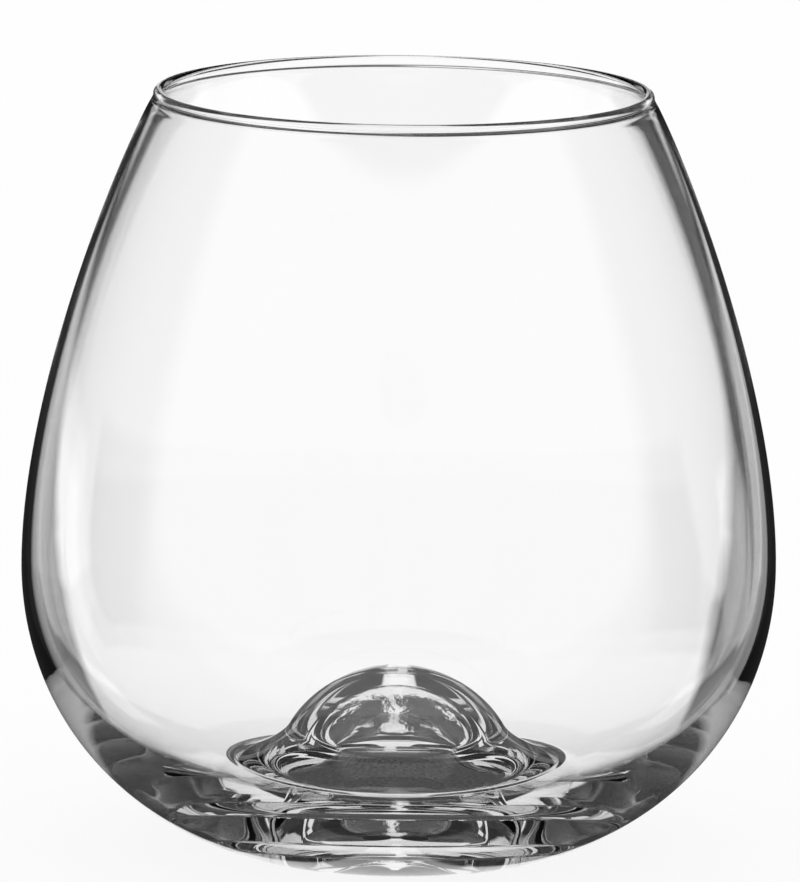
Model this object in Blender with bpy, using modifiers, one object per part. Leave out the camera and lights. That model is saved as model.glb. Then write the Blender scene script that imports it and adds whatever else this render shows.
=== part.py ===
"""Stemless rum glass: a blown bowl with a domed floor, fused hot to a heavy glass base that fills the dome.

Sizes are in millimetres and become metres when a mesh is made. The origin is on the surface that the
glass stands on, under the middle of the foot, and +Z runs up the axis of the glass.
"""

import math

import bpy

MM = 0.001
STEPS = 56
UPRIGHT = math.radians(90.0)

# Outside of the glass
HEIGHT = 95.7
RIM_RADIUS = 31.25
RIM_LEAN = math.radians(26.9)
BELLY_RADIUS = 47.3
BELLY_HEIGHT = 35.8
FOOT_RADIUS = 21.0
FOOT_RISE = math.radians(18.0)
RING_OUTSIDE = 20.8
RING_INSIDE = 15.1

# How far the outside curve runs straight on from the rim, up and down from the belly, and from the foot
RIM_REACH = 11.0
BELLY_REACH_UP = 20.2
BELLY_REACH_DOWN = 16.94
FOOT_REACH = 16.73

# Round bead of the rim, nearly flush with the outside, and the neck of thinner wall under it
BEAD_RADIUS = 0.7
BEAD_TURN = math.radians(60.0)
INNER_BEAD_TURN = math.radians(40.0)
NECK_LENGTH = 2.0
NECK_OUTSIDE = 0.52
NECK_WALL = 0.8

# Inside of the glass
INNER_LEAN = math.radians(26.0)
INNER_RIM_REACH = 12.4
INNER_BELLY_RADIUS = 46.03
INNER_BELLY_HEIGHT = 37.3
INNER_REACH_UP = 20.2
INNER_REACH_DOWN = 18.2
VALLEY_RADIUS = 21.45
VALLEY_HEIGHT = 6.6
VALLEY_RISE = math.radians(10.8)
VALLEY_REACH = 13.5

# Dome in the floor, a part of a sphere that flares out into the valley round it
DOME_RADIUS = 15.1
DOME_TOP = 21.5
DOME_SPREAD = math.radians(65.0)
FLARE_RISE = math.radians(18.0)
FLARE_VALLEY_REACH = 3.0
FLARE_DOME_REACH = 2.5

# Hollow in the underside of the base: a round crown under the dome, and a mouth that widens to the ring
HOLLOW_RADIUS = 8.15
HOLLOW_SPREAD = math.radians(80.0)
HOLLOW_REACH = 4.0
MOUTH_RISE = math.radians(124.0)
MOUTH_REACH = 1.4

# Seam between the bowl, whose floor is of even thickness, and the base
FLOOR_WALL = 2.5
SEAM_GAP = 0.3

# Where the seam and the corner of the foot lie, as shares of the runs of their curves
WALL_SEAM = 0.72
FLOOR_SEAM = 0.75
EDGE_GAP = 0.012
FOOT_CORNER = 0.99

# Number of points on each stretch of the profiles
DOME_POINTS = 8
FLARE_POINTS = 6
INNER_BASE_POINTS = 12
SHOULDER_POINTS = 10
LIP_POINTS = 9
OUTER_WALL_POINTS = 9
OUTER_FOOT_POINTS = 6
FLOOR_POINTS = 5
HOLLOW_POINTS = 7
MOUTH_POINTS = 6


def step(point, angle, length):
    """The point that lies length away from point, at angle from level."""
    return (point[0] + length * math.cos(angle), point[1] + length * math.sin(angle))


BEAD = (RIM_RADIUS - BEAD_RADIUS, HEIGHT - BEAD_RADIUS)
NECK = step(BEAD, RIM_LEAN - UPRIGHT, NECK_LENGTH)
OUTER_NECK = step(NECK, RIM_LEAN, NECK_OUTSIDE)
INNER_NECK = step(OUTER_NECK, RIM_LEAN, -NECK_WALL)
BELLY = (BELLY_RADIUS, BELLY_HEIGHT)
INNER_BELLY = (INNER_BELLY_RADIUS, INNER_BELLY_HEIGHT)
FOOT = (FOOT_RADIUS, 0.0)
VALLEY = (VALLEY_RADIUS, VALLEY_HEIGHT)
DOME_CENTRE = DOME_TOP - DOME_RADIUS
DOME_EDGE = (DOME_RADIUS * math.sin(DOME_SPREAD), DOME_CENTRE + DOME_RADIUS * math.cos(DOME_SPREAD))
HOLLOW_EDGE = (HOLLOW_RADIUS * math.sin(HOLLOW_SPREAD), DOME_CENTRE + HOLLOW_RADIUS * math.cos(HOLLOW_SPREAD))
RING_EDGE = (RING_INSIDE, 0.0)

# Cubic curves, each with its two ends and the two points that pull it, as radius and height
OUTER_SHOULDER = (
    OUTER_NECK,
    step(OUTER_NECK, RIM_LEAN - UPRIGHT, RIM_REACH),
    step(BELLY, UPRIGHT, BELLY_REACH_UP),
    BELLY,
)
OUTER_BASE = (
    BELLY,
    step(BELLY, -UPRIGHT, BELLY_REACH_DOWN),
    step(FOOT, FOOT_RISE, FOOT_REACH),
    FOOT,
)
INNER_SHOULDER = (
    INNER_NECK,
    step(INNER_NECK, INNER_LEAN - UPRIGHT, INNER_RIM_REACH),
    step(INNER_BELLY, UPRIGHT, INNER_REACH_UP),
    INNER_BELLY,
)
INNER_BASE = (
    INNER_BELLY,
    step(INNER_BELLY, -UPRIGHT, INNER_REACH_DOWN),
    step(VALLEY, VALLEY_RISE, VALLEY_REACH),
    VALLEY,
)
FLARE = (
    VALLEY,
    step(VALLEY, 2 * UPRIGHT - FLARE_RISE, FLARE_VALLEY_REACH),
    step(DOME_EDGE, -DOME_SPREAD, FLARE_DOME_REACH),
    DOME_EDGE,
)
MOUTH = (
    RING_EDGE,
    step(RING_EDGE, MOUTH_RISE, MOUTH_REACH),
    step(HOLLOW_EDGE, -HOLLOW_SPREAD, HOLLOW_REACH),
    HOLLOW_EDGE,
)


def curve(pulls, start, stop, count, depth=0.0):
    """Points on a cubic curve from start to stop of its run, each set depth into the glass under it."""
    points = []
    for index in range(count):
        run = start + (stop - start) * index / (count - 1)
        rest = 1.0 - run
        weights = (rest**3, 3 * rest**2 * run, 3 * rest * run**2, run**3)
        slopes = (-(rest**2), rest**2 - 2 * rest * run, 2 * rest * run - run**2, run**2)
        radius, height = (sum(w * p[axis] for w, p in zip(weights, pulls)) for axis in (0, 1))
        across, up = (sum(s * p[axis] for s, p in zip(slopes, pulls)) for axis in (0, 1))
        length = math.hypot(across, up)
        points.append((radius - depth * up / length, height + depth * across / length))
    return points


def dome(radius, spread, count):
    """Points up a sphere about the middle of the dome, from spread away from upright to its top."""
    points = []
    for index in range(count):
        angle = spread * (1.0 - index / (count - 1))
        points.append((radius * math.sin(angle), DOME_CENTRE + radius * math.cos(angle)))
    return points


def lip(count):
    """Points over the round bead of the rim, from its inside to its outside."""
    start = RIM_LEAN - UPRIGHT - INNER_BEAD_TURN
    sweep = 4 * UPRIGHT - BEAD_TURN - INNER_BEAD_TURN
    points = []
    for index in range(count):
        angle = start - sweep * index / (count - 1)
        points.append(step(BEAD, angle, BEAD_RADIUS))
    return points


def bowl_profile():
    """Half section of the bowl: from the top of the dome, over the rim and back under the floor."""
    inside = dome(DOME_RADIUS, DOME_SPREAD, DOME_POINTS)[::-1]
    inside += curve(FLARE, 1.0, 0.0, FLARE_POINTS)[1:]
    inside += curve(INNER_BASE, 1.0, 0.0, INNER_BASE_POINTS)[1:]
    inside += curve(INNER_SHOULDER, 1.0, 0.0, SHOULDER_POINTS)[1:]
    outside = curve(OUTER_SHOULDER, 0.0, 1.0, SHOULDER_POINTS)
    outside += curve(OUTER_BASE, 0.0, WALL_SEAM, OUTER_WALL_POINTS)[1:]
    under = curve(INNER_BASE, FLOOR_SEAM, 1.0, FLOOR_POINTS, FLOOR_WALL)
    under += curve(FLARE, 0.0, 1.0, FLARE_POINTS, FLOOR_WALL)
    under += dome(DOME_RADIUS - FLOOR_WALL, DOME_SPREAD, DOME_POINTS)[1:]
    return inside + lip(LIP_POINTS) + outside + under


def base_profile():
    """Half section of the base: from the top of its boss to the seam, under the foot and up the hollow."""
    depth = FLOOR_WALL + SEAM_GAP
    over = dome(DOME_RADIUS - depth, DOME_SPREAD, DOME_POINTS)[::-1]
    over += curve(FLARE, 1.0, 0.0, FLARE_POINTS, depth)[1:]
    over += curve(INNER_BASE, 1.0, FLOOR_SEAM + EDGE_GAP, FLOOR_POINTS, depth)
    outside = curve(OUTER_BASE, WALL_SEAM + EDGE_GAP, FOOT_CORNER, OUTER_FOOT_POINTS)
    foot = [(RING_OUTSIDE, 0.0)]
    hollow = curve(MOUTH, 0.0, 1.0, MOUTH_POINTS)
    hollow += dome(HOLLOW_RADIUS, HOLLOW_SPREAD, HOLLOW_POINTS)[1:]
    return over + outside + foot + hollow


def glass_material(name, roughness):
    """Clear soda-lime glass."""
    material = bpy.data.materials.new(name)
    material.use_nodes = True
    shader = material.node_tree.nodes["Principled BSDF"]
    shader.inputs["Base Color"].default_value = (0.93, 0.94, 0.94, 1.0)
    shader.inputs["Metallic"].default_value = 0.0
    shader.inputs["Roughness"].default_value = roughness
    shader.inputs["IOR"].default_value = 1.52
    shader.inputs["Transmission Weight"].default_value = 1.0
    return material


def turned(name, profile, material, collection):
    """An object turned round the axis from a profile of radius and height in millimetres."""
    edges = [(index, index + 1) for index in range(len(profile) - 1)]
    mesh = bpy.data.meshes.new(name)
    mesh.from_pydata([(radius * MM, 0.0, height * MM) for radius, height in profile], edges, [])
    mesh.materials.append(material)
    piece = bpy.data.objects.new(name, mesh)
    collection.objects.link(piece)
    screw = piece.modifiers.new("Turned", "SCREW")
    screw.axis = "Z"
    screw.angle = 2 * math.pi
    screw.steps = STEPS
    screw.render_steps = STEPS
    screw.use_merge_vertices = True
    screw.merge_threshold = 0.00001
    screw.use_smooth_shade = True
    return piece


def main():
    for old in list(bpy.data.objects):
        bpy.data.objects.remove(old, do_unlink=True)
    collection = bpy.data.collections.new("rum_glass")
    bpy.context.scene.collection.children.link(collection)
    turned("bowl", bowl_profile(), glass_material("blown_glass", 0.02), collection)
    turned("base", base_profile(), glass_material("base_glass", 0.04), collection)


main()
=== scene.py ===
"""Looks of a stemless rum glass: one turned body of clear glass, and the studio that it stands in.

The file is laid out as an add-on. Sizes and finishes are properties, the glass and the studio each have an
operator, and a panel lists them. Lengths are in metres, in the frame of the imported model: the origin is on
the table, under the middle of the foot, and +Z runs up the axis of the glass.
"""

import math
from collections import namedtuple

import bpy
from mathutils import Matrix, Vector


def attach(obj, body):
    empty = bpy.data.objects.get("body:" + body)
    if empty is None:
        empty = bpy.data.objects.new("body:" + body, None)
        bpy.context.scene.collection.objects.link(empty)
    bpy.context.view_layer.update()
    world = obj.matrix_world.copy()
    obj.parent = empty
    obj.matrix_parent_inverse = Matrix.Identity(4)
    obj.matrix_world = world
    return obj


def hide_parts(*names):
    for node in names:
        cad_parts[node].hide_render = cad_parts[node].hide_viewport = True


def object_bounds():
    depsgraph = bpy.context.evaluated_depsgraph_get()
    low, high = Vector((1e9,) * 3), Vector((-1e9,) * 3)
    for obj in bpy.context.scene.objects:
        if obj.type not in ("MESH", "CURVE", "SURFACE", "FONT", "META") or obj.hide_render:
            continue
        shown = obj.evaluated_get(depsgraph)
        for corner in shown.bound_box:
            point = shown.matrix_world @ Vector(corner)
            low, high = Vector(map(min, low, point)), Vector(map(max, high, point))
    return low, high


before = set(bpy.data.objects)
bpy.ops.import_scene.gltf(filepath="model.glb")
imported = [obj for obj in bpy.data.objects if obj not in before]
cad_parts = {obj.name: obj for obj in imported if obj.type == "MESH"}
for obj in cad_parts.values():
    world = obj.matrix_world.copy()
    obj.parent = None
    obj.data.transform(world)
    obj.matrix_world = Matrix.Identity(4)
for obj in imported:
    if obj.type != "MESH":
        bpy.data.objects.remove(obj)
CAD_LOW, CAD_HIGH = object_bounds()

bl_info = {
    "name": "Rum glass",
    "version": (1, 0, 0),
    "blender": (4, 5, 0),
    "location": "3D View > Sidebar > Rum glass",
    "description": "Models a stemless rum glass and the studio that it stands in",
    "category": "Add Mesh",
}

MM = 0.001
CENTIMETRE = 10.0 * MM
UPRIGHT = math.radians(90.0)

# How the half section leaves its corners: slopes from level, and how far each curve runs on along them
RIM_LEAN = math.radians(26.9)
RIM_REACH = 11.0 * MM
BELLY_REACH_UP = 20.2 * MM
BELLY_REACH_DOWN = 16.94 * MM
FOOT_RISE = math.radians(18.0)
FOOT_REACH = 16.73 * MM
BEAD_TURN = math.radians(60.0)
INNER_BEAD_TURN = math.radians(40.0)
BEAD_REACH = 0.4 * MM
INNER_LEAN = math.radians(26.0)
INNER_RIM_REACH = 12.4 * MM
INNER_REACH_UP = 20.2 * MM
INNER_REACH_DOWN = 18.2 * MM
VALLEY_RISE = math.radians(10.8)
VALLEY_REACH = 13.5 * MM
DOME_SPREAD = math.radians(65.0)
FLARE_RISE = math.radians(18.0)
FLARE_VALLEY_REACH = 3.0 * MM
FLARE_DOME_REACH = 2.5 * MM
HOLLOW_SPREAD = math.radians(80.0)
HOLLOW_REACH = 4.0 * MM
MOUTH_RISE = math.radians(124.0)
MOUTH_REACH = 1.4 * MM

# From the corners of the flat ring to the points beside them, which keep smooth shading from rounding it
CORNER_WIDTH = 0.1 * MM

# Points on each stretch of the half section, and steps of the turn
DOME_POINTS = 36
BASE_POINTS = 48
WALL_POINTS = 36
FLARE_POINTS = 14
BEAD_POINTS = 20
NECK_POINTS = 6
TURN_STEPS = 240

# Plane that shrinks to the first vertex of the section, and how near vertices lie that are merged
SEED_SIZE = 1.0 * MM
MERGE_DISTANCE = 0.001 * MM

# Soda-lime glass, and the noise of its waves and of the marks in the hollow
GLASS_IOR = 1.52
WAVE_DETAIL = 0.0
CHILL_DETAIL = 3.0
CHILL_EDGE = 0.5 * MM
CHILL_CLEARANCE = 1.0 * MM

# Paper floor, and the painted shade under the hollow: a glowing dark grey disc in place of the paper in the
# glass's shade, with a grain that is coarse enough to show
FLOOR_RADIUS = 8.0
FLOOR_SIDES = 96
PAPER_GLOW = 0.9
PAINTED_SHADE_DEPTH = 0.1 * MM
PAINTED_SHADE_SIDES = 64
GRAIN_WIDTH = 0.5 * MM
GRAIN_DETAIL = 2.0
GRAIN_SPREAD = (0.3, 0.7)
# Dark grey levels of the painted shade, varied by the grain
PAINTED_SHADE_GRAIN_TONES = (0.05, 0.13)

# Light tent, far enough away to be seen alike from every point of the glass
TENT_RADIUS = 60.0
TENT_SEGMENTS = 64
TENT_RINGS = 32
DARK_CLOTH = 0.025
CARD_END_SOFTNESS = 2.0

# Camera, with its sensor in millimetres, and how many times light may turn in the glass
IMAGE_HEIGHT = 882
PIXELS_PER_METRE = 7992.0
SENSOR_WIDTH = 36.0
CAMERA_REACH = 30.0
LIGHT_BOUNCES = 24


def linear(code):
    """An sRGB hex colour as linear red, green and blue."""
    channels = [int(code[place : place + 2], 16) / 255 for place in (1, 3, 5)]
    return tuple(c / 12.92 if c <= 0.04045 else ((c + 0.055) / 1.055) ** 2.4 for c in channels)


WHITE = (*linear("#FFFFFF"), 1.0)
BLACK = (*linear("#000000"), 1.0)


class GlassSizes(bpy.types.PropertyGroup):
    """Sizes of the glass."""

    height: bpy.props.FloatProperty(
        name="Height", description="From the table to the top of the rim", default=CAD_HIGH.z, unit="LENGTH"
    )
    belly_radius: bpy.props.FloatProperty(
        name="Belly radius", description="Outside radius of the widest part", default=47.3 * MM, unit="LENGTH"
    )
    belly_height: bpy.props.FloatProperty(
        name="Belly height", description="Height of the widest part", default=35.8 * MM, unit="LENGTH"
    )
    inner_belly_height: bpy.props.FloatProperty(
        name="Inner belly height", description="Height of the widest inside", default=37.3 * MM, unit="LENGTH"
    )
    belly_wall: bpy.props.FloatProperty(
        name="Belly wall", description="Thickness of the wall at the belly", default=1.27 * MM, unit="LENGTH"
    )
    rim_radius: bpy.props.FloatProperty(
        name="Rim radius", description="Outside radius of the mouth", default=31.25 * MM, unit="LENGTH"
    )
    bead_radius: bpy.props.FloatProperty(
        name="Bead radius", description="Radius of the bead of the rim", default=0.7 * MM, unit="LENGTH"
    )
    neck_length: bpy.props.FloatProperty(
        name="Neck length",
        description="From the middle of the bead to the wall",
        default=2.0 * MM,
        unit="LENGTH",
    )
    neck_outside: bpy.props.FloatProperty(
        name="Neck outside",
        description="From the bead's middle line to the outside",
        default=0.52 * MM,
        unit="LENGTH",
    )
    neck_wall: bpy.props.FloatProperty(
        name="Neck wall", description="Thickness of the wall under the bead", default=0.8 * MM, unit="LENGTH"
    )
    foot_radius: bpy.props.FloatProperty(
        name="Foot radius", description="Outside radius of the flat ring", default=21.0 * MM, unit="LENGTH"
    )
    ring_inside: bpy.props.FloatProperty(
        name="Ring inside", description="Inside radius of the flat ring", default=15.1 * MM, unit="LENGTH"
    )
    valley_radius: bpy.props.FloatProperty(
        name="Valley radius",
        description="Radius of the valley round the dome",
        default=21.45 * MM,
        unit="LENGTH",
    )
    valley_height: bpy.props.FloatProperty(
        name="Valley height",
        description="Height of the valley round the dome",
        default=6.6 * MM,
        unit="LENGTH",
    )
    dome_radius: bpy.props.FloatProperty(
        name="Dome radius", description="Radius of the dome in the floor", default=15.1 * MM, unit="LENGTH"
    )
    dome_top: bpy.props.FloatProperty(
        name="Dome top", description="Height of the top of the dome", default=21.5 * MM, unit="LENGTH"
    )
    hollow_radius: bpy.props.FloatProperty(
        name="Hollow radius", description="Radius of the hollow's crown", default=8.15 * MM, unit="LENGTH"
    )


class GlassFinish(bpy.types.PropertyGroup):
    """Colours and surface of the glass."""

    tint: bpy.props.FloatVectorProperty(
        name="Tint", description="Colour of the glass", default=linear("#FFFFFF"), subtype="COLOR"
    )
    shade: bpy.props.FloatProperty(
        name="Shade",
        description="Share of the light lost in a centimetre of glass",
        default=0.03,
        subtype="FACTOR",
    )
    wave_spacing: bpy.props.FloatProperty(
        name="Wave spacing",
        description="Spacing of the faint waves of the wall",
        default=14.0 * MM,
        unit="LENGTH",
    )
    wave_depth: bpy.props.FloatProperty(
        name="Wave depth",
        description="Depth of the faint waves of the wall",
        default=0.02 * MM,
        unit="LENGTH",
    )
    chill_spacing: bpy.props.FloatProperty(
        name="Chill mark spacing",
        description="Spacing of the marks in the hollow",
        default=1.3 * MM,
        unit="LENGTH",
    )
    chill_depth: bpy.props.FloatProperty(
        name="Chill mark depth",
        description="Depth of the marks in the hollow",
        default=0.1 * MM,
        unit="LENGTH",
    )
    chill_radius: bpy.props.FloatProperty(
        name="Chilled radius", description="Radius of the marked crown", default=5.7 * MM, unit="LENGTH"
    )
    chill_roughness: bpy.props.FloatProperty(
        name="Chilled roughness", description="Roughness of the marked crown", default=0.1, subtype="FACTOR"
    )


class StudioSettings(bpy.types.PropertyGroup):
    """Camera and floor of the studio."""

    camera_distance: bpy.props.FloatProperty(
        name="Camera distance", description="From the camera to the glass", default=1.6, unit="LENGTH"
    )
    camera_rise: bpy.props.FloatProperty(
        name="Camera rise",
        description="Angle that it looks down at",
        default=math.radians(9.73),
        unit="ROTATION",
    )
    camera_roll: bpy.props.FloatProperty(
        name="Camera roll",
        description="Turn about the line of sight",
        default=math.radians(0.65),
        unit="ROTATION",
    )
    aim_height: bpy.props.FloatProperty(
        name="Aim height", description="Height that the camera looks at", default=51.26 * MM, unit="LENGTH"
    )
    frame_height: bpy.props.FloatProperty(
        name="Frame height",
        description="Height seen at the glass",
        default=IMAGE_HEIGHT / PIXELS_PER_METRE,
        unit="LENGTH",
    )
    floor_colour: bpy.props.FloatVectorProperty(
        name="Floor colour",
        description="Colour of the paper floor",
        default=linear("#F4F4F4"),
        subtype="COLOR",
    )


def node(tree, kind, settings, inputs):
    """A new shader node with its settings, and with each input set to a value or linked to a socket."""
    new = tree.nodes.new("ShaderNode" + kind)
    for name, value in settings.items():
        setattr(new, name, value)
    for name, value in inputs.items():
        if isinstance(value, bpy.types.NodeSocket):
            tree.links.new(value, new.inputs[name])
        else:
            new.inputs[name].default_value = value
    return new


def empty_material(name):
    """A new material with nothing but its output node."""
    material = bpy.data.materials.new(name)
    material.use_nodes = True
    tree = material.node_tree
    tree.nodes.clear()
    output = tree.nodes.new("ShaderNodeOutputMaterial")
    return material, tree, output


def span(tree, value, ends, softness, level):
    """Level where value lies between two ends, and nought outside them, with soft edges."""
    half = softness / 2
    rising = {"Value": value, "From Min": ends[0] - half, "From Max": ends[0] + half, "To Max": level}
    up = node(tree, "MapRange", {}, rising).outputs["Result"]
    falling = {"Value": value, "From Min": ends[1] + half, "From Max": ends[1] - half, "To Max": up}
    return node(tree, "MapRange", {}, falling).outputs["Result"]


def chill_marks(tree, place, sizes, finish):
    """One at the crown of the hollow, where a cold plunger has marked the glass, and nought elsewhere."""
    level = node(tree, "VectorMath", {"operation": "MULTIPLY"}, {0: place, 1: (1.0, 1.0, 0.0)})
    radius = node(tree, "VectorMath", {"operation": "LENGTH"}, {0: level.outputs["Vector"]})
    height = node(tree, "SeparateXYZ", {}, {"Vector": place})
    reach = finish.chill_radius
    top = sizes.dome_top - sizes.dome_radius + sizes.hollow_radius + CHILL_CLEARANCE
    middle = span(tree, radius.outputs["Value"], (-reach, reach), CHILL_EDGE, 1.0)
    return span(tree, height.outputs["Z"], (-top, top), CHILL_EDGE, middle)


def clear_glass(sizes, finish):
    """Soda-lime glass, blown and fire-polished: clear and smooth, with rough marks in the hollow."""
    # Faint waves bend what is seen through the wall a little, and the thick base looks grey in its depth
    material, tree, output = empty_material("clear soda-lime glass")
    place = node(tree, "TexCoord", {}, {}).outputs["Object"]
    chilled = chill_marks(tree, place, sizes, finish)
    wave_noise = {"Vector": place, "Scale": 1.0 / finish.wave_spacing, "Detail": WAVE_DETAIL}
    mark_noise = {"Vector": place, "Scale": 1.0 / finish.chill_spacing, "Detail": CHILL_DETAIL}
    waves = node(tree, "TexNoise", {}, wave_noise).outputs["Fac"]
    marks = node(tree, "TexNoise", {}, mark_noise).outputs["Fac"]
    mark_depth = node(tree, "Math", {"operation": "MULTIPLY"}, {0: chilled, 1: finish.chill_depth}).outputs[0]
    mark_height = node(tree, "Math", {"operation": "MULTIPLY"}, {0: marks, 1: mark_depth}).outputs[0]
    heights = {0: waves, 1: finish.wave_depth, 2: mark_height}
    height = node(tree, "Math", {"operation": "MULTIPLY_ADD"}, heights)
    bump = node(tree, "Bump", {}, {"Strength": 1.0, "Distance": 1.0, "Height": height.outputs[0]})
    roughness = node(tree, "Math", {"operation": "MULTIPLY"}, {0: chilled, 1: finish.chill_roughness})
    surface = {
        "Base Color": (*finish.tint, 1.0),
        "Roughness": roughness.outputs[0],
        "IOR": GLASS_IOR,
        "Transmission Weight": 1.0,
        "Normal": bump.outputs["Normal"],
    }
    shader = node(tree, "BsdfPrincipled", {}, surface)
    loss = -math.log(1.0 - finish.shade) / CENTIMETRE
    depth = node(tree, "VolumeAbsorption", {}, {"Color": BLACK, "Density": loss})
    tree.links.new(shader.outputs["BSDF"], output.inputs["Surface"])
    tree.links.new(depth.outputs["Volume"], output.inputs["Volume"])
    return material


def step(point, angle, length):
    """The point that lies length away from point, at angle from level."""
    return point + Vector((math.cos(angle), math.sin(angle))) * length


def cubic(start, start_pull, end_pull, end, count):
    """Points on a cubic curve, as radius and height, leaving out its start."""
    points = []
    for index in range(1, count + 1):
        run = index / count
        rest = 1.0 - run
        points.append(
            start * rest**3 + start_pull * (3 * rest**2 * run) + end_pull * (3 * rest * run**2) + end * run**3
        )
    return points


def arc(centre, radius, start, stop, count):
    """Points on an arc about centre, at angles from upright towards the outside, leaving out its start."""
    points = []
    for index in range(1, count + 1):
        angle = start + (stop - start) * index / count
        points.append(centre + Vector((math.sin(angle), math.cos(angle))) * radius)
    return points


def underside(sizes, centre):
    """Points from the axis down the hollow and out over the flat ring."""
    ring_inside = Vector((sizes.ring_inside, 0.0))
    foot = Vector((sizes.foot_radius, 0.0))
    corner = Vector((CORNER_WIDTH, 0.0))
    points = [centre + Vector((0.0, sizes.hollow_radius))]
    points += arc(centre, sizes.hollow_radius, 0.0, HOLLOW_SPREAD, DOME_POINTS)
    hollow_edge = points[-1]
    points += cubic(
        hollow_edge,
        step(hollow_edge, -HOLLOW_SPREAD, HOLLOW_REACH),
        step(ring_inside, MOUTH_RISE, MOUTH_REACH),
        ring_inside,
        FLARE_POINTS,
    )
    points += [ring_inside + corner, foot - corner]
    return points


def outer_wall(sizes, outer_neck):
    """Points from the foot up the outside of the wall to the neck."""
    foot = Vector((sizes.foot_radius, 0.0))
    belly = Vector((sizes.belly_radius, sizes.belly_height))
    belly_to_foot = cubic(
        belly,
        step(belly, -UPRIGHT, BELLY_REACH_DOWN),
        step(foot, FOOT_RISE, FOOT_REACH),
        foot,
        BASE_POINTS,
    )
    belly_to_neck = cubic(
        belly,
        step(belly, UPRIGHT, BELLY_REACH_UP),
        step(outer_neck, RIM_LEAN - UPRIGHT, RIM_REACH),
        outer_neck,
        WALL_POINTS,
    )
    return belly_to_foot[::-1] + [belly] + belly_to_neck


def rim_bead(centre, radius, outer_neck, inner_neck):
    """Points from the wall's outside over the round bead of the rim to its inside."""
    down_wall = 2 * UPRIGHT - RIM_LEAN
    outer_turn = down_wall - BEAD_TURN
    inner_turn = down_wall + INNER_BEAD_TURN - 4 * UPRIGHT
    outer_start = arc(centre, radius, 0.0, outer_turn, 1)[0]
    inner_end = arc(centre, radius, 0.0, inner_turn, 1)[0]
    points = cubic(
        outer_neck,
        step(outer_neck, RIM_LEAN + UPRIGHT, BEAD_REACH),
        step(outer_start, -outer_turn, BEAD_REACH),
        outer_start,
        NECK_POINTS,
    )
    points += arc(centre, radius, outer_turn, inner_turn, BEAD_POINTS)
    points += cubic(
        inner_end,
        step(inner_end, 2 * UPRIGHT - inner_turn, BEAD_REACH),
        step(inner_neck, RIM_LEAN + UPRIGHT, BEAD_REACH),
        inner_neck,
        NECK_POINTS,
    )
    return points


def inner_wall(sizes, inner_neck):
    """Points from the neck down the inside of the wall to the valley round the dome."""
    inner_belly = Vector((sizes.belly_radius - sizes.belly_wall, sizes.inner_belly_height))
    valley = Vector((sizes.valley_radius, sizes.valley_height))
    points = cubic(
        inner_neck,
        step(inner_neck, INNER_LEAN - UPRIGHT, INNER_RIM_REACH),
        step(inner_belly, UPRIGHT, INNER_REACH_UP),
        inner_belly,
        WALL_POINTS,
    )
    points += cubic(
        inner_belly,
        step(inner_belly, -UPRIGHT, INNER_REACH_DOWN),
        step(valley, VALLEY_RISE, VALLEY_REACH),
        valley,
        BASE_POINTS,
    )
    return points


def floor_dome(sizes, centre):
    """Points from the valley up the flare and over the dome to the axis."""
    valley = Vector((sizes.valley_radius, sizes.valley_height))
    dome_edge = arc(centre, sizes.dome_radius, 0.0, DOME_SPREAD, 1)[0]
    points = cubic(
        valley,
        step(valley, 2 * UPRIGHT - FLARE_RISE, FLARE_VALLEY_REACH),
        step(dome_edge, -DOME_SPREAD, FLARE_DOME_REACH),
        dome_edge,
        FLARE_POINTS,
    )
    points += arc(centre, sizes.dome_radius, DOME_SPREAD, 0.0, DOME_POINTS)
    return points


def half_section(sizes):
    """Radius and height along the glass, from the hollow out over the foot, the rim and in to the dome."""
    # The crown of the hollow has the same centre as the dome
    dome_centre = Vector((0.0, sizes.dome_top - sizes.dome_radius))
    bead = Vector((sizes.rim_radius - sizes.bead_radius, sizes.height - sizes.bead_radius))
    neck = step(bead, RIM_LEAN - UPRIGHT, sizes.neck_length)
    outer_neck = step(neck, RIM_LEAN, sizes.neck_outside)
    inner_neck = step(outer_neck, RIM_LEAN, -sizes.neck_wall)
    points = underside(sizes, dome_centre)
    points += outer_wall(sizes, outer_neck)
    points += rim_bead(bead, sizes.bead_radius, outer_neck, inner_neck)
    points += inner_wall(sizes, inner_neck)
    points += floor_dome(sizes, dome_centre)
    return points


def draw_section(name, points):
    """A new object, left in edit mode, with an edge chain drawn through points by extruding one vertex."""
    bpy.ops.object.select_all(action="DESELECT")
    start = points[0]
    bpy.ops.mesh.primitive_plane_add(size=SEED_SIZE, location=(0.0, 0.0, 0.0))
    piece = bpy.context.object
    piece.name = name
    piece.data.name = name
    bpy.ops.object.mode_set(mode="EDIT")
    bpy.ops.mesh.merge(type="CENTER")
    bpy.ops.transform.translate(value=(start.x, 0.0, start.y))
    for point, following in zip(points, points[1:]):
        move = following - point
        bpy.ops.mesh.extrude_region_move(TRANSFORM_OT_translate={"value": (move.x, 0.0, move.y)})
    return piece


class RUMGLASS_OT_glass(bpy.types.Operator):
    """Turn the glass from its half section"""

    bl_idname = "rum_glass.glass"
    bl_label = "Glass"

    def execute(self, context):
        sizes = context.scene.rum_glass_sizes
        finish = context.scene.rum_glass_finish
        glass = draw_section("glass", half_section(sizes))
        bpy.ops.mesh.select_all(action="SELECT")
        bpy.ops.mesh.spin(steps=TURN_STEPS, angle=2 * math.pi, center=(0.0, 0.0, 0.0), axis=(0.0, 0.0, 1.0))
        bpy.ops.mesh.select_all(action="SELECT")
        bpy.ops.mesh.remove_doubles(threshold=MERGE_DISTANCE)
        bpy.ops.mesh.normals_make_consistent(inside=False)
        bpy.ops.mesh.select_all(action="DESELECT")
        bpy.ops.object.mode_set(mode="OBJECT")
        bpy.ops.object.shade_smooth()
        glass.data.materials.append(clear_glass(sizes, finish))
        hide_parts("bowl", "base")
        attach(glass, "root")
        return {"FINISHED"}


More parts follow.
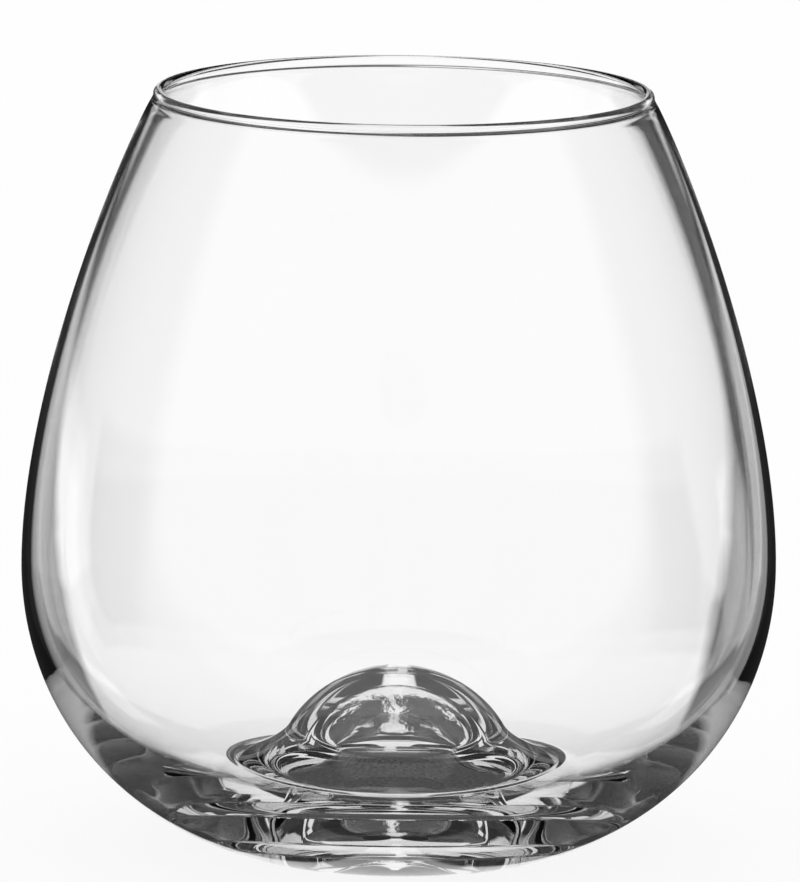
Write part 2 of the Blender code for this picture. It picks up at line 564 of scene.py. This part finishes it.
def paper_floor(studio):
    """Matt white paper, even and white to the camera, with the faint shadow of the glass kept."""
    material, tree, output = empty_material("matt white paper")
    path = node(tree, "LightPath", {}, {})
    seen = path.outputs["Is Camera Ray"]
    for ray in ("Is Glossy Ray", "Is Transmission Ray"):
        seen = node(tree, "Math", {"operation": "MAXIMUM"}, {0: seen, 1: path.outputs[ray]}).outputs[0]
    share = node(tree, "Math", {"operation": "MULTIPLY"}, {0: seen, 1: PAPER_GLOW})
    paper = node(tree, "BsdfDiffuse", {}, {"Color": (*studio.floor_colour, 1.0)})
    glow = node(tree, "Emission", {}, {"Color": WHITE, "Strength": 1.0})
    shaders = {0: share.outputs[0], 1: paper.outputs["BSDF"], 2: glow.outputs["Emission"]}
    mix = node(tree, "MixShader", {}, shaders)
    tree.links.new(mix.outputs["Shader"], output.inputs["Surface"])
    return material


# Cards of cloth round the glass. Sides are in degrees from +Y towards +X, ends in degrees above level.
# Softness is the width of the blurred sides, and lean is how far the sides move for each degree of rise.
Card = namedtuple("Card", "sides ends brightness softness lean")


def mirrored(card):
    """The like card on the other side of the glass."""
    left, right = card.sides
    return card._replace(sides=(-right, -left), lean=-card.lean)


BACK_WINDOW = Card((-6.3, 5.0), (-62.0, 8.0), 1.0, 1.0, 0.0)
UPPER_WINDOW = Card((-4.2, -0.2), (6.0, 42.0), 1.0, 1.0, 0.0)
TOP_CARD = Card((-8.0, 8.0), (42.0, 78.0), 1.0, 4.0, 0.0)
UPPER_STRIP = Card((14.0, 30.0), (3.0, 14.0), 1.0, 3.0, 0.0)
LEFT_CARD = Card((-62.0, -23.5), (-22.0, 0.0), 0.95, 4.0, -0.65)
RIGHT_STRIP = Card((21.0, 36.5), (-22.0, 0.0), 0.85, 2.0, 0.65)
RIGHT_CARD = Card((44.0, 62.0), (-22.0, -2.0), 1.0, 2.0, 0.0)
SIDE_TABLE = Card((17.0, 200.0), (-55.0, -20.0), 1.0, 3.0, 1.05)
FRONT_CARD = Card((95.0, 185.0), (-50.0, 60.0), 0.7, 10.0, 0.0)
SINGLE_CARDS = (BACK_WINDOW, UPPER_WINDOW, TOP_CARD, LEFT_CARD, RIGHT_STRIP, RIGHT_CARD)
PAIRED_CARDS = (UPPER_STRIP, SIDE_TABLE, FRONT_CARD)
CARDS = SINGLE_CARDS + PAIRED_CARDS + tuple(mirrored(card) for card in PAIRED_CARDS)


def card_light(tree, card, sideways, rise):
    """Brightness of one card, seen at the given angles."""
    lean = {0: rise, 1: card.lean, 2: sideways}
    leaned = node(tree, "Math", {"operation": "MULTIPLY_ADD"}, lean).outputs[0]
    across = span(tree, leaned, card.sides, card.softness, card.brightness)
    return span(tree, rise, card.ends, CARD_END_SOFTNESS, across)


def tent_cloth():
    """White, grey and black cloth of a light tent, lit from outside."""
    material, tree, output = empty_material("light tent cloth")
    place = node(tree, "TexCoord", {}, {})
    away = node(tree, "VectorMath", {"operation": "NORMALIZE"}, {0: place.outputs["Object"]})
    axes = node(tree, "SeparateXYZ", {}, {"Vector": away.outputs["Vector"]})
    turn = node(tree, "Math", {"operation": "ARCTAN2"}, {0: axes.outputs["X"], 1: axes.outputs["Y"]})
    sideways = node(tree, "Math", {"operation": "DEGREES"}, {0: turn.outputs[0]}).outputs[0]
    tilt = node(tree, "Math", {"operation": "ARCSINE"}, {0: axes.outputs["Z"]})
    rise = node(tree, "Math", {"operation": "DEGREES"}, {0: tilt.outputs[0]}).outputs[0]
    light = DARK_CLOTH
    for card in CARDS:
        shine = card_light(tree, card, sideways, rise)
        light = node(tree, "Math", {"operation": "MAXIMUM"}, {0: light, 1: shine}).outputs[0]
    glow = node(tree, "Emission", {}, {"Color": WHITE, "Strength": light})
    tree.links.new(glow.outputs["Emission"], output.inputs["Surface"])
    return material


def painted_shade_paper():
    """Paper under the hollow of the glass, with painted shade: a glowing dark grey that stands in for its
    shade, with its grain.
    """
    material, tree, output = empty_material("paper with painted shade")
    place = node(tree, "TexCoord", {}, {})
    texture = {"Vector": place.outputs["Object"], "Scale": 1.0 / GRAIN_WIDTH, "Detail": GRAIN_DETAIL}
    grain = node(tree, "TexNoise", {}, texture)
    low, high = GRAIN_SPREAD
    dark, light = PAINTED_SHADE_GRAIN_TONES
    tones = {
        "Value": grain.outputs["Fac"],
        "From Min": low,
        "From Max": high,
        "To Min": dark,
        "To Max": light,
    }
    tone = node(tree, "MapRange", {}, tones)
    # The dark grey is painted shade: the disc glows at that level and no lamp lights it
    glow = node(tree, "Emission", {}, {"Color": WHITE, "Strength": tone.outputs["Result"]})
    tree.links.new(glow.outputs["Emission"], output.inputs["Surface"])
    return material


def add_floor(studio):
    """The paper floor. The glass sees the lower half of the light tent in its place."""
    bpy.ops.object.select_all(action="DESELECT")
    bpy.ops.mesh.primitive_circle_add(
        vertices=FLOOR_SIDES, radius=FLOOR_RADIUS, fill_type="NGON", location=(0.0, 0.0, 0.0)
    )
    floor = bpy.context.object
    floor.name = "paper_floor"
    floor.data.materials.append(paper_floor(studio))
    floor.visible_transmission = False
    floor.visible_glossy = False


def add_painted_shade(sizes):
    """A disc of painted shade under the hollow, in place of the paper that the glass shades, which only shows
    through the glass.
    """
    bpy.ops.object.select_all(action="DESELECT")
    # Painted shade: a dark disc just under the floor, where the glass would shade the paper
    bpy.ops.mesh.primitive_circle_add(
        vertices=PAINTED_SHADE_SIDES, radius=sizes.ring_inside, fill_type="NGON", location=(0.0, 0.0, -PAINTED_SHADE_DEPTH)
    )
    shade = bpy.context.object
    shade.name = "painted_shade_under_hollow"
    shade.data.materials.append(painted_shade_paper())
    shade.visible_camera = False
    shade.visible_diffuse = False
    shade.visible_shadow = False


def add_tent():
    """The light tent, which only the glass sees."""
    bpy.ops.object.select_all(action="DESELECT")
    bpy.ops.mesh.primitive_uv_sphere_add(
        segments=TENT_SEGMENTS, ring_count=TENT_RINGS, radius=TENT_RADIUS, location=(0.0, 0.0, 0.0)
    )
    tent = bpy.context.object
    tent.name = "light_tent"
    tent.data.materials.append(tent_cloth())
    tent.visible_camera = False
    tent.visible_diffuse = False
    tent.visible_shadow = False


def add_camera(studio):
    """A camera far off, as for a catalogue picture, looking down a little at the glass."""
    rise = studio.camera_rise
    back = Vector((0.0, -math.cos(rise), math.sin(rise)))
    aim = Vector((0.0, 0.0, studio.aim_height))
    bpy.ops.object.camera_add()
    camera = bpy.context.object
    camera.name = "camera"
    turn = back.to_track_quat("Z", "Y").to_matrix().to_4x4() @ Matrix.Rotation(studio.camera_roll, 4, "Z")
    camera.matrix_world = Matrix.Translation(aim + back * studio.camera_distance) @ turn
    camera.data.sensor_fit = "AUTO"
    camera.data.sensor_width = SENSOR_WIDTH
    camera.data.lens = SENSOR_WIDTH * studio.camera_distance / studio.frame_height
    camera.data.clip_end = CAMERA_REACH
    bpy.context.scene.camera = camera


def add_world():
    """White all round for the camera, and a plain soft light for the floor."""
    world = bpy.data.worlds.new("studio")
    bpy.context.scene.world = world
    world.use_nodes = True
    background = world.node_tree.nodes["Background"]
    background.inputs["Color"].default_value = WHITE
    background.inputs["Strength"].default_value = 1.0


class RUMGLASS_OT_studio(bpy.types.Operator):
    """Set up the floor, the light tent and the camera"""

    bl_idname = "rum_glass.studio"
    bl_label = "Studio"

    def execute(self, context):
        studio = context.scene.rum_glass_studio
        add_floor(studio)
        add_painted_shade(context.scene.rum_glass_sizes)
        add_tent()
        add_camera(studio)
        add_world()
        context.scene.view_settings.view_transform = "Standard"
        context.scene.cycles.max_bounces = LIGHT_BOUNCES
        context.scene.cycles.transmission_bounces = LIGHT_BOUNCES
        context.scene.cycles.glossy_bounces = LIGHT_BOUNCES
        return {"FINISHED"}


class RUMGLASS_PT_panel(bpy.types.Panel):
    """Sizes and finishes of the glass, and the steps that make it"""

    bl_idname = "RUMGLASS_PT_panel"
    bl_label = "Rum glass"
    bl_space_type = "VIEW_3D"
    bl_region_type = "UI"
    bl_category = "Rum glass"

    def draw(self, context):
        scene = context.scene
        for group in (scene.rum_glass_sizes, scene.rum_glass_finish, scene.rum_glass_studio):
            box = self.layout.box()
            for name in group.bl_rna.properties.keys():
                if name not in ("rna_type", "name"):
                    box.prop(group, name)
        self.layout.operator(RUMGLASS_OT_glass.bl_idname)
        self.layout.operator(RUMGLASS_OT_studio.bl_idname)


CLASSES = (GlassSizes, GlassFinish, StudioSettings, RUMGLASS_OT_glass, RUMGLASS_OT_studio, RUMGLASS_PT_panel)


def register():
    for cls in CLASSES:
        bpy.utils.register_class(cls)
    bpy.types.Scene.rum_glass_sizes = bpy.props.PointerProperty(type=GlassSizes)
    bpy.types.Scene.rum_glass_finish = bpy.props.PointerProperty(type=GlassFinish)
    bpy.types.Scene.rum_glass_studio = bpy.props.PointerProperty(type=StudioSettings)


def unregister():
    del bpy.types.Scene.rum_glass_studio
    del bpy.types.Scene.rum_glass_finish
    del bpy.types.Scene.rum_glass_sizes
    for cls in reversed(CLASSES):
        bpy.utils.unregister_class(cls)


def main():
    register()
    bpy.ops.rum_glass.glass()
    bpy.ops.rum_glass.studio()


if __name__ == "__main__":
    main()
